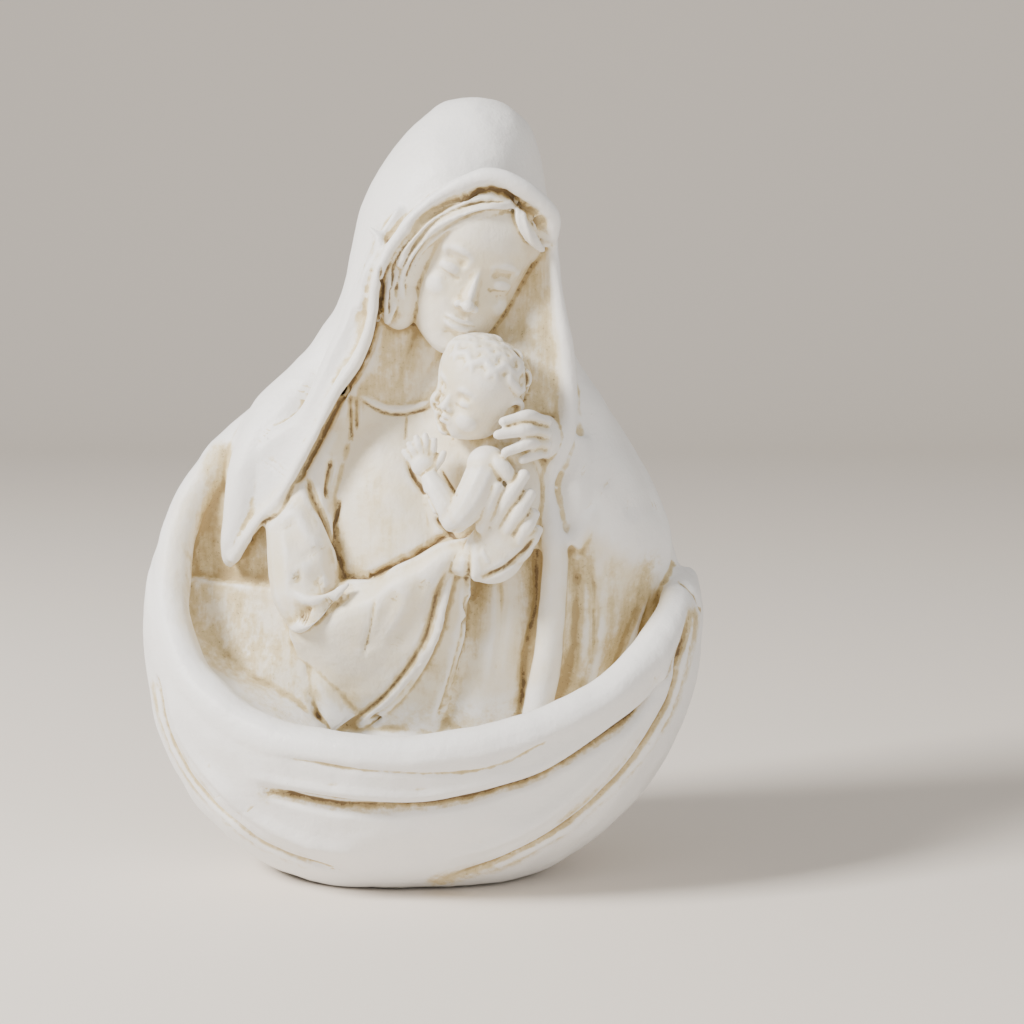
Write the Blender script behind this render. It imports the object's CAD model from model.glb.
"""A mother and child figurine: one white painted casting with a warm wash in its hollows.

Lengths are in millimetres of the casting, 220 from foot to crown. Front is -Y.
"""

import math

import bmesh
import bpy
import numpy as np
from mathutils import Matrix, Vector
from mathutils.bvhtree import BVHTree
from mathutils.kdtree import KDTree


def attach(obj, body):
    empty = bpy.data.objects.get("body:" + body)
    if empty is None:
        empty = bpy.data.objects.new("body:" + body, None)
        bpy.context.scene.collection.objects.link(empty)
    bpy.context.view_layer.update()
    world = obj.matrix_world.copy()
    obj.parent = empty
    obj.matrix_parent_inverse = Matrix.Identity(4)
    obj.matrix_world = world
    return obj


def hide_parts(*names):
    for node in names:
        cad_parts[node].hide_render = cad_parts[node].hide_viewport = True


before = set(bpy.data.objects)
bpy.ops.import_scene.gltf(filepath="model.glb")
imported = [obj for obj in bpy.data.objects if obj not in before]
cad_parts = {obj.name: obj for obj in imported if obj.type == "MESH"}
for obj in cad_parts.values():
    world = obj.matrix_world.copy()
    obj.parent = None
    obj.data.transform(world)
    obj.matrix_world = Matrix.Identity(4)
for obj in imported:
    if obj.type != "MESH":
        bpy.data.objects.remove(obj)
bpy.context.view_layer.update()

# The studio
# A pale sweep of paper, a large soft light high on the left, a fill on the right, and the
# camera at the height and angle of the photograph.
MM = 0.001
CAMERA_AT = (0.0252, -0.6405, 0.1696)
CAMERA_LENS = 80
CAMERA_SENSOR = 36
CAMERA_TILT = 84.15
PHOTO = 1024


def new_mesh(name, build):
    """An object whose mesh is what build(bm) makes."""
    bm = bmesh.new()
    build(bm)
    bmesh.ops.recalc_face_normals(bm, faces=bm.faces)
    mesh = bpy.data.meshes.new(name)
    bm.to_mesh(mesh)
    bm.free()
    obj = bpy.data.objects.new(name, mesh)
    bpy.context.collection.objects.link(obj)
    return obj


def sweep_of_paper(bm):
    profile = [(-3.0, 0.0), (1.6, 0.0)]
    for step in range(1, 25):
        angle = math.radians(90 * step / 24)
        profile.append((1.6 + 0.9 * math.sin(angle), 0.9 - 0.9 * math.cos(angle)))
    profile.append((2.5, 4.0))
    rows = [[bm.verts.new((x, y, z)) for x in (-5, 5)] for y, z in profile]
    for low, high in zip(rows, rows[1:]):
        bm.faces.new((low[0], low[1], high[1], high[0]))


paper = new_mesh("paper sweep", sweep_of_paper)
paper.data.polygons.foreach_set("use_smooth", [True] * len(paper.data.polygons))
paper_paint = bpy.data.materials.new("pale paper")
paper_paint.use_nodes = True
paper_surface = paper_paint.node_tree.nodes["Principled BSDF"]
paper_surface.inputs["Base Color"].default_value = (0.80, 0.74, 0.67, 1)
paper_surface.inputs["Roughness"].default_value = 0.9
paper.data.materials.append(paper_paint)

world = bpy.data.worlds.new("studio")
bpy.context.scene.world = world
world.use_nodes = True
world.node_tree.nodes["Background"].inputs["Color"].default_value = (1.0, 0.985, 0.96, 1)
world.node_tree.nodes["Background"].inputs["Strength"].default_value = 0.55


def soft_light(name, place, aim, size, power, colour):
    lamp = bpy.data.lights.new(name, "AREA")
    lamp.size = size
    lamp.energy = power
    lamp.color = colour
    obj = bpy.data.objects.new(name, lamp)
    bpy.context.collection.objects.link(obj)
    obj.location = place
    obj.rotation_euler = (Vector(aim) - Vector(place)).to_track_quat("-Z", "Y").to_euler()


soft_light("key", (-1.0, -0.55, 0.95), (0, 0, 0.11), 0.4, 42, (1.0, 0.97, 0.93))
soft_light("fill", (0.9, -1.0, 0.5), (0, 0, 0.1), 1.0, 4, (1.0, 0.98, 0.96))

view = bpy.data.cameras.new("camera")
view.lens = CAMERA_LENS
view.sensor_width = CAMERA_SENSOR
camera = bpy.data.objects.new("camera", view)
bpy.context.collection.objects.link(camera)
camera.location = CAMERA_AT
camera.rotation_euler = (math.radians(CAMERA_TILT), 0, 0)
bpy.context.scene.camera = camera

# The bowl
# The mantle's hem gathers into a bowl that stands on a small flat foot. In the casting it
# is a thick shell with a rolled rim, built up here like clay and fused.
BOWL_WIDTH = 160.0
BOWL_FRONT = 58.9
BACK = 43.6
WALL = 8.5
RIM = 5.4
MIDDLE = 73
DROP = 80
RISE = 76.3
GROUND = 2
BELLY = 0.36
COARSE = 1.3
MEDIUM = 0.8
FINE = 0.5


def at(x, y, z):
    return Vector((x, y, z)) * MM


def deselect():
    for obj in list(bpy.context.selected_objects):
        obj.select_set(False)


def make_active(obj):
    deselect()
    bpy.context.view_layer.objects.active = obj
    obj.select_set(True)


def apply_modifier(obj, kind, **values):
    make_active(obj)
    modifier = obj.modifiers.new(kind, kind)
    for name, value in values.items():
        setattr(modifier, name, value)
    bpy.ops.object.modifier_apply(modifier=modifier.name)


def rope(*stations):
    """A tapered rope of clay through stations of (x, y, z, radius)."""
    curve = bpy.data.curves.new("rope", "CURVE")
    curve.dimensions = "3D"
    curve.resolution_u = 6
    curve.bevel_depth = MM
    curve.bevel_resolution = 4
    curve.use_fill_caps = True
    spline = curve.splines.new("BEZIER")
    spline.bezier_points.add(len(stations) - 1)
    for point, (x, y, z, radius) in zip(spline.bezier_points, stations):
        point.co = at(x, y, z)
        point.radius = radius
        point.handle_left_type = point.handle_right_type = "AUTO"
    obj = bpy.data.objects.new("rope", curve)
    bpy.context.collection.objects.link(obj)
    make_active(obj)
    bpy.ops.object.convert(target="MESH")
    return bpy.context.object


def smooth_rows(points, steps):
    """Rows of points with more between, on a curve that passes through all of them."""
    ends = np.concatenate([2 * points[:1] - points[1:2], points, 2 * points[-1:] - points[-2:-1]])
    a, b, c, d = ends[:-3], ends[1:-2], ends[2:-1], ends[3:]
    rows = []
    for t in np.arange(steps) / steps:
        rows.append(0.5 * (2 * b + (c - a) * t + (2 * a - 5 * b + 4 * c - d) * t**2
                           + (3 * b - a - 3 * c + d) * t**3))
    dense = np.stack(rows, axis=1).reshape(-1, *points.shape[1:])
    return np.concatenate([dense, points[-1:]])


def block(rails, back=4, steps=6):
    """A slab of clay whose front passes through the rails, and whose back is level."""
    points = smooth_rows(np.array(rails, float), steps)
    points = smooth_rows(points.transpose(1, 0, 2), steps).transpose(1, 0, 2)
    rows, columns = points.shape[:2]

    def build(bm):
        front = [[bm.verts.new(at(*p)) for p in row] for row in points]
        rear = [[bm.verts.new(at(p[0], back, p[2])) for p in row] for row in points]
        for i in range(rows - 1):
            for j in range(columns - 1):
                bm.faces.new((front[i][j], front[i][j + 1], front[i + 1][j + 1], front[i + 1][j]))
                bm.faces.new((rear[i][j], rear[i + 1][j], rear[i + 1][j + 1], rear[i][j + 1]))
        for i in range(rows - 1):
            for j in (0, columns - 1):
                bm.faces.new((front[i][j], front[i + 1][j], rear[i + 1][j], rear[i][j]))
        for j in range(columns - 1):
            for i in (0, rows - 1):
                bm.faces.new((front[i][j], front[i][j + 1], rear[i][j + 1], rear[i][j]))

    return new_mesh("block", build)


def body_point(angle, z, inset=0.0):
    """A point on the egg that the bowl and the mantle's back share, 0 being the front.

    Under its middle the egg is fuller on the viewer's left."""
    tall = (RISE if z > MIDDLE else DROP) - inset
    power = 2 + (BELLY * max(0.0, -math.sin(angle)) if z < MIDDLE else 0)
    share = max(0.0, 1 - (abs(z - MIDDLE) / tall) ** power) ** (1 / power)
    depth = BOWL_FRONT if math.cos(angle) > 0 else BACK
    x = (BOWL_WIDTH / 2 - inset) * share * math.sin(angle)
    return Vector((x, GROUND - (depth + GROUND - inset) * share * math.cos(angle), z))


RIM_LINE = (
    (-100, 104), (-90, 98), (-78, 90), (-62, 72), (-47, 60), (-33, 53.5), (-14, 50),
    (3, 50), (20, 53.5), (37, 60.5), (52, 69.5), (70, 81), (82, 87), (100, 92),
)


def rim_height(angle):
    angles, heights = zip(*RIM_LINE)
    return float(np.interp(math.degrees(angle), angles, heights))


def bowl_wall():
    """The front and sides of the bowl from the foot to the rim."""
    columns, rows, reach = 96, 30, math.radians(100)

    def build(bm):
        grid = []
        for i in range(columns + 1):
            angle = -reach + 2 * reach * i / columns
            top = rim_height(angle) - RIM * 0.8
            grid.append([bm.verts.new(body_point(angle, top * j / rows) * MM)
                         for j in range(rows + 1)])
        for left, right in zip(grid, grid[1:]):
            for j in range(rows):
                bm.faces.new((left[j], right[j], right[j + 1], left[j + 1]))

    wall = new_mesh("wall", build)
    outward = wall.data.polygons[0].normal.y < 0 or wall.data.polygons[0].normal.z < 0
    apply_modifier(wall, "SOLIDIFY", thickness=WALL * MM, offset=-1 if outward else 1)
    return wall


def egg(z_low, z_high, y_low):
    """The egg between two heights and behind a plane."""
    deselect()
    bpy.ops.mesh.primitive_uv_sphere_add(segments=96, ring_count=64, radius=1)
    obj = bpy.context.object
    for vertex in obj.data.vertices:
        x, y, z = vertex.co
        height = min(max(MIDDLE + (RISE if z > 0 else DROP) * z, z_low), z_high)
        ring = body_point(math.atan2(x, -y), height)
        drawn = 1 - 0.07 * min(max((height - 82) / 6, 0), 1) * (x > 0)
        vertex.co = at(ring.x * drawn, max(ring.y, y_low), height)
    return obj


rim_stations = [(-34, 4, 140, 3), (-44, 4, 132, 4), (-56, 2, 120, 5), (-66, -1, 107, 5.2)]
for degrees in (-78, -62, -47, -33, -14, 3, 20, 37, 52, 66, 78):
    turn = math.radians(degrees)
    point = body_point(turn, rim_height(turn), RIM)
    rim_stations.append((point.x, point.y, point.z - RIM, RIM))
rim_stations += [(73.3, -2, 81, 6), (68, 3, 84, 5.4)]
rim = rope(*rim_stations)
bowl = [
    egg(0, 21, -1),
    bowl_wall(),
    block([[(x * half, y, z) for x in (-1, -0.5, 0, 0.5, 1)] for half, y, z in
           ((75, 0, 86), (75, -3, 74), (75, -7, 60), (71, -12, 46), (60, -21, 33),
            (36, -33, 24), (20, -38, 18))]),
]

# The mantle and its hood
# The mantle falls from the hood over both shoulders and becomes the bowl. It is one thick
# form, hollowed in front between the two edges of the veil.
HOOD = (
    # z, left, right, front, back, middle
    (104, -50, 60, -6, 40, 4), (124, -44, 54, -13, 41, 4), (136, -38, 48, -18, 40, 4),
    (143, -33.5, 44.5, -21, 39, 4), (150, -30.5, 42, -22, 38, 4), (158, -26.5, 40, -23.5, 37, 4),
    (168, -22.8, 38.2, -25, 36, 4), (178, -20.4, 36.4, -26, 35, 4),
    (186, -18.6, 36.4, -26.5, 34, 4), (192, -16.5, 35.2, -26, 32, 4),
    (200, -12.6, 34.4, -24, 29, 4), (207, -8, 33.2, -20, 26, 3),
    (213, -2.5, 30.4, -14.5, 21.5, 3), (217, 2.5, 26, -10, 17, 3),
    (219.4, 5.5, 22.5, -6, 12.5, 3), (220.6, 9.5, 18.5, -2, 8, 3),
)
OPENING = (
    (19.3, 195.4), (13, 194), (2.5, 188), (-4, 182.5), (-8.5, 176.5), (-11.5, 168.5),
    (-13, 160), (-16, 150), (-22, 141), (-26.5, 131.5), (-33, 120), (-41, 106), (-47, 92),
    (30, 92), (32, 98), (32, 111), (34, 119), (37, 129), (38, 139), (37, 150), (36, 162),
    (34.6, 174), (33.6, 184), (32, 188.5), (26, 193),
)


def loft(name, sections, sides=64):
    """A closed form through level sections of (z, left, right, front, back, middle)."""

    def build(bm):
        rings = []
        for z, left, right, front, back, middle in smooth_rows(np.array(sections, float), 3):
            ring = []
            for i in range(sides):
                angle = 2 * math.pi * i / sides
                x = (left + right) / 2 + (right - left) / 2 * math.cos(angle)
                reach = (back - middle) if math.sin(angle) > 0 else (middle - front)
                ring.append(bm.verts.new(at(x, middle + reach * math.sin(angle), z)))
            rings.append(ring)
        for low, high in zip(rings, rings[1:]):
            for i in range(sides):
                j = (i + 1) % sides
                bm.faces.new((low[i], low[j], high[j], high[i]))
        bm.faces.new(rings[0][::-1])
        bm.faces.new(rings[-1])

    return new_mesh(name, build)


def opening_cutter():
    curve = bpy.data.curves.new("opening", "CURVE")
    curve.dimensions = "2D"
    curve.fill_mode = "BOTH"
    curve.resolution_u = 6
    curve.extrude = 38 * MM
    spline = curve.splines.new("BEZIER")
    spline.bezier_points.add(len(OPENING) - 1)
    spline.use_cyclic_u = True
    for station, (x, z) in zip(spline.bezier_points, OPENING):
        station.co = at(x, z, 0)
        station.handle_left_type = station.handle_right_type = "AUTO"
    obj = bpy.data.objects.new("opening", curve)
    bpy.context.collection.objects.link(obj)
    obj.location = at(0, -38, 0)
    obj.rotation_euler = (math.radians(90), 0, 0)
    make_active(obj)
    bpy.ops.object.convert(target="MESH")
    obj = bpy.context.object
    bpy.ops.object.transform_apply(location=True, rotation=True, scale=True)
    apply_modifier(obj, "WELD", merge_threshold=0.00001)
    return obj


def fuse(name, pieces, voxel, soften):
    """The pieces as one skin, softened over a radius."""
    deselect()
    for piece in pieces:
        piece.select_set(True)
    bpy.context.view_layer.objects.active = pieces[0]
    if len(pieces) > 1:
        bpy.ops.object.join()
    obj = bpy.context.view_layer.objects.active
    obj.name = name
    apply_modifier(obj, "REMESH", mode="VOXEL", voxel_size=voxel * MM)
    passes = round(2 * (soften / voxel) ** 2)
    if passes:
        apply_modifier(obj, "SMOOTH", factor=0.5, iterations=passes)
    return obj


mantle = fuse("mantle", [
    *bowl,
    egg(0, 2 * MIDDLE, GROUND),
    loft("hood", HOOD),
    rope((-17, 3, 158, 9), (-27, 1, 143, 10), (-38, -1, 129, 12), (-46, -1, 116, 10),
         (-48, 0, 104, 7)),
    rope((-35, -1, 137, 6), (-42, -5, 128, 7.6), (-47, -8, 118, 7.2), (-50, -9, 108, 5.6),
         (-52.6, -8.5, 98, 4.2), (-54.4, -7, 92, 2.8), (-54.8, -6, 88.5, 1.2)),
    # the inside of the bowl, sloping in from the rim on the viewer's left
    block([
        [(-60, 0, 124), (-56, 1, 124), (-50, 2, 124)],
        [(-69, -3, 112), (-65, 0, 112), (-61, 2, 112)],
        [(-74, -5, 100), (-69, -2, 100), (-64, 1, 100)],
        [(-76, -8, 88), (-71, -4, 88), (-65, 0, 88)],
        [(-75, -13, 76), (-69, -8, 76), (-61, -3, 76)],
        [(-68, -24, 64), (-60, -15, 64), (-51, -8, 64)],
        [(-54, -38, 54), (-46, -26, 54), (-38, -16, 54)],
        [(-40, -45, 44), (-32, -33, 44), (-26, -22, 44)],
    ]),
    block([
        [(41, -12, 150), (42.5, -4, 150), (43, 2, 148), (43.5, 5, 147)],
        [(42, -14, 137), (47, -12, 137), (50.5, -6, 136), (51.5, 3, 135)],
        [(41, -16, 127), (48.5, -15, 127), (54.5, -10, 126), (58, 2, 125)],
        [(37.5, -20, 118), (49, -18, 118), (57.5, -13.5, 118), (63, 0, 117)],
        [(36, -20.5, 109), (49, -19.5, 109), (59, -15.5, 109), (67, -2, 109)],
        [(38, -20, 101), (49, -20, 101), (59.5, -16.5, 101), (70, -3, 101)],
        [(43.5, -14, 93), (48.5, -19, 92), (58, -15.5, 92), (71, -4, 93)],
        [(45, -13, 84), (49, -18, 84), (56, -14.5, 84), (68, -4, 84)],
        [(45.5, -13, 74), (49.5, -17.5, 74), (54, -14, 74), (62, -4, 74)],
        [(45, -12, 64), (48.5, -16, 64), (51.5, -12.5, 64), (58, -4, 64)],
        [(42, -10, 54), (46, -15, 54), (49, -11, 54), (54, -4, 54)],
        [(38, -7, 42), (42, -12, 42), (45, -9, 42), (50, -4, 42)],
    ]),
], COARSE, 2.0)
opening = opening_cutter()
apply_modifier(mantle, "BOOLEAN", operation="DIFFERENCE", object=opening, solver="EXACT")
bpy.data.objects.remove(opening)

# The veil
# Its turned edges frame the mother and child, and its folds drop from them into the bowl.
VEIL_INNER = (
    (2.1, -26, 188.6), (-7.2, -26, 178.6), (-11.6, -25.5, 169.1), (-13.2, -25, 157.2),
    (-16.8, -24.5, 148.2), (-22.5, -24, 140), (-27, -23, 131), (-33.3, -21, 120),
    (-39.6, -17.5, 109), (-44.4, -15, 104), (-49.4, -12.5, 97.4), (-53.6, -9.5, 91),
)
VEIL_OUTER = (
    (-6, -24, 189), (-13, -23, 178), (-17, -22.5, 168), (-21.5, -22, 156), (-26, -21.5, 147),
    (-30, -20.5, 138), (-36, -18.5, 130), (-44, -15.5, 124), (-51, -12, 117), (-54.4, -10, 107),
    (-55.8, -9, 98), (-55.6, -8.4, 91.4),
)


def fold(*stations, deep=12):
    """A fold of cloth that stands out of what is behind it."""
    return [rope(*[(x, y + back, z, radius) for x, y, z, radius in stations])
            for back in range(0, deep, 3)]


veil_hollow = [((a[0] + b[0]) / 2, (a[1] + b[1]) / 2 + 1.8 - 0.22 * i, (a[2] + b[2]) / 2)
               for i, (a, b) in enumerate(zip(VEIL_INNER, VEIL_OUTER))]
veil = [
    block([VEIL_INNER, veil_hollow, VEIL_OUTER], back=0),
    rope(*[(*p, 1.5) for p in VEIL_INNER]),
    rope(*[(x + 1.2, y + 2.2 + 5 / (i + 1), z, 2.4) for i, (x, y, z) in enumerate(VEIL_OUTER)]),
    # the hood's rolled front edge
    rope((-11, -24.5, 173, 1.3), (-7, -26, 179, 1.7), (-2.5, -26.8, 184.6, 2.0),
         (2.4, -27.6, 189.2, 2.2), (7.5, -28.6, 192.6, 2.3), (13, -29.4, 195.5, 2.4),
         (19.5, -29.8, 197.2, 2.4), (26, -29.2, 195.2, 2.3), (33, -27, 190.4, 2.2),
         (36.2, -24.6, 186.4, 2.1), (36.2, -22, 180, 1.7)),
    rope((-13.6, -22, 184, 0.8), (-10.5, -24, 180, 1.2), (-14.5, -24, 171, 1.3),
         (-16.5, -23.5, 162, 0.8)),
    # the ground that the mother and child stand out from, and beside the arm and the folds
    block([
        [(-60, 1, 122), (-54, -1, 122), (-46, -5, 122), (-34, -8, 122)],
        [(-65, 0, 104), (-56, -2, 104), (-47, -6, 104), (-34, -9, 104)],
        [(-66, 0, 87), (-56, -2, 86.4), (-47, -6, 86), (-34, -9, 86)],
        [(-67, -3, 85), (-56, -5, 83.6), (-47, -8.5, 82.8), (-34, -12, 82.6)],
        [(-68, -6, 76), (-56, -7.5, 73), (-47, -11, 70), (-34, -15, 70)],
        [(-66, -12, 66), (-56, -12, 61), (-45, -15, 58), (-32, -17, 56)],
        [(-56, -16, 52), (-47, -16, 47), (-38, -17, 44), (-29, -17, 42)],
    ]),
    block([
        [(36, -17, 99), (41, -17, 99), (47, -17, 99)],
        [(36, -19, 84), (41, -19, 84), (47, -18, 84)],
        [(36, -18, 70), (41, -18, 70), (47, -17, 70)],
        [(34, -15, 58), (40, -15, 58), (46, -14, 58)],
        [(30, -10, 44), (36, -11, 44), (42, -10, 44)],
    ]),
    block([
        [(2, -12, 190), (10, -10, 190), (20, -10, 190), (28, -12, 190), (35, -19, 188)],
        [(-9, -13, 172), (2, -9, 172), (14, -7, 172), (28, -14, 172), (35.5, -19.5, 172)],
        [(-13, -15, 156), (0, -11, 156), (12, -11, 156), (27, -17, 156), (37, -20.5, 156)],
        [(-20, -13, 141), (-4, -13, 141), (10, -17, 141), (27, -22, 141), (39, -21, 141)],
        [(-29, -11, 126), (-8, -15, 126), (10, -23, 126), (27, -27, 126), (38.5, -22, 126)],
        [(-35, -9, 110), (-10, -17, 110), (10, -26, 110), (27, -29, 110), (35, -22, 110)],
        [(-37, -7, 96), (-10, -17, 96), (12, -27, 96), (27, -25, 96), (35, -20, 96)],
    ]),
    *fold((36.6, -19.5, 184, 1.6), (36.8, -20, 174, 1.7), (38.2, -20, 162, 2.0),
          (40, -20.5, 150, 2.4), (40.8, -21, 138, 2.9), (39.8, -22, 128, 3.2),
          (36.8, -22.5, 120.5, 2.9), (34.8, -22, 113, 2.3), (35.6, -22, 105, 2.8),
          (37, -22.5, 96, 3.6), (36.8, -22, 84, 3.8), (35.8, -21, 71, 4),
          (34.2, -19, 60, 4.2), (32.2, -16, 48, 4), (31, -12, 38, 4)),
    *fold((54, -13, 113, 1.6), (46.5, -18.5, 105, 2.8), (41.5, -20, 97, 3)),
    rope((42, -13.5, 126, 6), (42.4, -15.6, 113, 6.4), (42.4, -16.4, 103, 5)),
    rope((-31, -7.5, 66, 7), (-27, -11, 56, 7), (-21, -11.5, 46, 6)),
    rope((66, -4, 88, 1.6), (62, -6, 80, 1.8), (58.5, -7, 68, 1.8), (54, -7, 56, 1.8)),
]

# The gown and the sleeve
# Her gown is drawn in at a round collar. The wide right sleeve hangs from a bent forearm
# and fans down into the bowl in front of a second layer of cloth.


def ball(centre, radii, turn=(0, 0, 0)):
    """An ellipsoid of clay. The turn is in degrees about X, Y and Z."""
    deselect()
    bpy.ops.mesh.primitive_uv_sphere_add(
        segments=40, ring_count=24, radius=1, location=at(*centre),
        rotation=[math.radians(a) for a in turn], scale=Vector(radii) * MM)
    bpy.ops.object.transform_apply(location=True, rotation=True, scale=True)
    return bpy.context.object


gown = [
    rope((9, -5, 160, 8), (1, -6, 148, 7.6), (-3, -5, 136, 9)),
    ball((-4, 0, 121), (24, 16, 22), (0, 10, 0)),
    ball((-5, 0, 103), (23, 19, 26)),
    block([
        [(-20, -9, 131), (-12, -12.5, 133), (-4, -14, 133.5), (6, -13, 134)],
        [(-24, -12, 120), (-13, -18, 120), (-3, -19.5, 120), (8, -18, 120)],
        [(-25, -14, 108), (-13, -21, 108), (-2, -22.5, 108), (9, -21, 108)],
        [(-23, -16, 96), (-12, -22, 96), (-1, -24, 96), (10, -23, 98)],
        [(-23, -16, 84), (-13, -20, 84), (-2, -22, 86), (9, -22, 90)],
    ]),
    rope((-19, -2, 132, 8), (-28, -7, 118, 9), (-33, -11, 107, 9.5), (-33, -15, 95, 10),
         (-32, -17, 84, 10), (-30, -17, 76, 8)),
    block([
        [(-34, -18, 80), (-20.4, -22, 87), (-12, -25, 87.5), (-6.9, -27, 91),
         (-0.3, -28.5, 94.3), (6, -29.5, 98.3), (13.5, -30, 100.3)],
        [(-37, -18, 72), (-26, -26, 77), (-15, -29, 81), (-7, -31, 86), (0, -32, 90),
         (6, -32.5, 94.5), (13.5, -32, 98)],
        [(-31.7, -15, 61), (-24, -23, 66), (-15, -27, 71), (-7, -29.5, 77), (0, -31, 83),
         (5.5, -32, 89.5), (11, -31.5, 95)],
        [(-25.9, -13, 51.6), (-20, -19, 56), (-13, -23, 62), (-6, -26, 69), (0, -28, 77),
         (5, -29.5, 85.5), (9.8, -30.5, 93)],
        [(-19, -12, 43), (-13.4, -17, 48), (-6.9, -21, 54), (0, -24.5, 63.2),
         (4.4, -27, 72.5), (7, -29, 82), (10, -30.5, 92.5)],
    ]),
    block([
        [(-22, -9, 40), (-15, -13, 44), (-8, -17.5, 52), (-1.5, -21, 62),
         (3, -24.5, 73), (6, -27, 83), (9, -29.5, 94)],
        [(3, -13, 40), (6, -16.5, 50), (9, -20.5, 60), (11.3, -24, 70), (13, -27, 79),
         (14.2, -29, 89), (14.5, -30, 100)],
    ]),
    block([
        [(13, -14, 94), (12, -16, 76), (10, -16.5, 65), (7, -14, 54), (3, -9, 42)],
        [(21, -17.5, 96), (21, -20.5, 77), (19.5, -20.5, 66), (17, -18, 55), (14, -14, 42)],
        [(31, -17, 98), (31, -17, 78), (29.5, -17, 66), (28, -15, 56), (27, -11, 42)],
        [(38, -15, 98), (38, -15, 78), (37, -15, 66), (35, -13, 56), (33, -9, 42)],
    ]),
    rope((-36.5, -19, 87, 0.8), (-35, -24, 85, 1.4), (-30.5, -27, 82.6, 1.7),
         (-25, -27.6, 83.2, 1.6), (-20.6, -26, 86.6, 0.9)),
    rope((-37, -17, 75, 1), (-33.4, -24.5, 74.6, 1.6), (-29, -27.6, 78, 1.5),
         (-24, -28, 82.4, 1.2), (-19, -26.6, 87.2, 0.9)),
    # the upper arm's own folds
    rope((-38.5, -15, 112, 1.4), (-36, -19, 104, 1.8), (-31, -22, 96, 1.8),
         (-27.5, -22, 91, 1.2)),
]
cloth = fuse("cloth", [mantle, rim, *veil, *gown], MEDIUM, 0.8)
for size, strength in ((18, 1.5), (5, 0.3)):
    dents = bpy.data.textures.new("dents", "CLOUDS")
    dents.noise_scale = size * MM
    dents.noise_depth = 1
    apply_modifier(cloth, "DISPLACE", texture=dents, texture_coords="LOCAL",
                   strength=strength * MM, mid_level=0.5)

# Her head
# She looks down at the child with lowered lids. The head is modelled by itself, looking
# straight ahead, then turned and set in the hood. The fine lines are cut at the end.
HEAD_PLACE = ((13.8, -10.3, 175.4), (13, 14, 23), 0.91)


def skull(rows, power=2.3, sides=56):
    """A closed head form through level rows of (z, half width, front, back)."""

    def build(bm):
        rings = []
        for z, wide, front, back in smooth_rows(np.array(rows, float), 4):
            middle = min(0, (front + back) / 2 + 3)
            ring = []
            for i in range(sides):
                angle = 2 * math.pi * i / sides
                s, c = math.sin(angle), math.cos(angle)
                k = (abs(s) ** power + abs(c) ** power) ** (-1 / power) if c > 0 else 1
                y = middle + (front - middle) * c * k if c > 0 else middle - (back - middle) * c
                ring.append(bm.verts.new(at(wide * s * k, y, z)))
            rings.append(ring)
        for low, high in zip(rings, rings[1:]):
            for i in range(sides):
                j = (i + 1) % sides
                bm.faces.new((low[i], low[j], high[j], high[i]))
        bm.faces.new(rings[0][::-1])
        bm.faces.new(rings[-1])

    return new_mesh("skull", build)


def both(*lines):
    """Lines of (depth, half width, points), each with its mirror image."""
    return [(depth, width, [(side * x, y, z) for x, y, z in points])
            for depth, width, points in lines for side in (1, -1)]


def evened(rows):
    """The rows with each one averaged with those beside it."""
    spread = np.array([1, 2, 3, 4, 3, 2, 1]) / 16
    padded = np.concatenate([rows[:1].repeat(3, 0), rows, rows[-1:].repeat(3, 0)])
    return sum(share * padded[i:i + len(rows)] for i, share in enumerate(spread))


def mesh_arrays(obj):
    count = len(obj.data.vertices)
    places, normals = np.empty(count * 3), np.empty(count * 3)
    obj.data.vertices.foreach_get("co", places)
    obj.data.vertices.foreach_get("normal", normals)
    return places.reshape(-1, 3), normals.reshape(-1, 3)


SIGHT_SLACK = 12
BATCH = 20000


def press(obj, lines, eye=None):
    """Lines pressed into the clay, or raised if the depth is negative.

    Each is (depth, half width, points). The points are laid on the surface along sight
    lines from the eye, or on the nearest part of it where there is no eye."""
    places, normals = mesh_arrays(obj)
    moved = np.zeros_like(places)
    for depth, width, points in lines:
        points = np.array(points, float)
        length = np.linalg.norm(np.diff(points, axis=0), axis=1).max()
        dense = smooth_rows(points, max(6, math.ceil(length / (0.35 * width)))) * MM
        on, facing = [], []
        for p in dense:
            p = Vector(p)
            hit = False
            if eye is not None:
                hit, place, normal, _ = obj.ray_cast(eye, (p - eye).normalized())
            if not hit or (place - p).length > SIGHT_SLACK * MM:
                hit, place, normal, _ = obj.closest_point_on_mesh(p)
            on.append(place)
            facing.append(normal)
        on, facing = evened(np.array(on)), evened(np.array(facing))
        facing /= np.linalg.norm(facing, axis=1)[:, None]
        reach = 3 * width * MM
        near = np.nonzero(((places > on.min(0) - reach) & (places < on.max(0) + reach)).all(1))[0]
        if not len(near):
            continue
        closest = np.empty(len(near), int)
        distance = np.empty(len(near))
        for start in range(0, len(near), BATCH):
            part = slice(start, start + BATCH)
            gap = ((places[near[part]][:, None] - on[None]) ** 2).sum(2)
            closest[part] = gap.argmin(1)
            distance[part] = np.sqrt(gap.min(1)) / (width * MM)
        along = closest / (len(on) - 1)
        fade = np.clip(np.minimum(along, 1 - along) * 6, 0, 1)
        same = np.clip((normals[near] * facing[closest]).sum(1) * 1.5, 0, 1)
        amount = -depth * MM * np.exp(-distance**2) * fade * same
        moved[near] += facing[closest] * amount[:, None]
    obj.data.vertices.foreach_set("co", (places + moved).ravel())
    obj.data.update()


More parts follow.
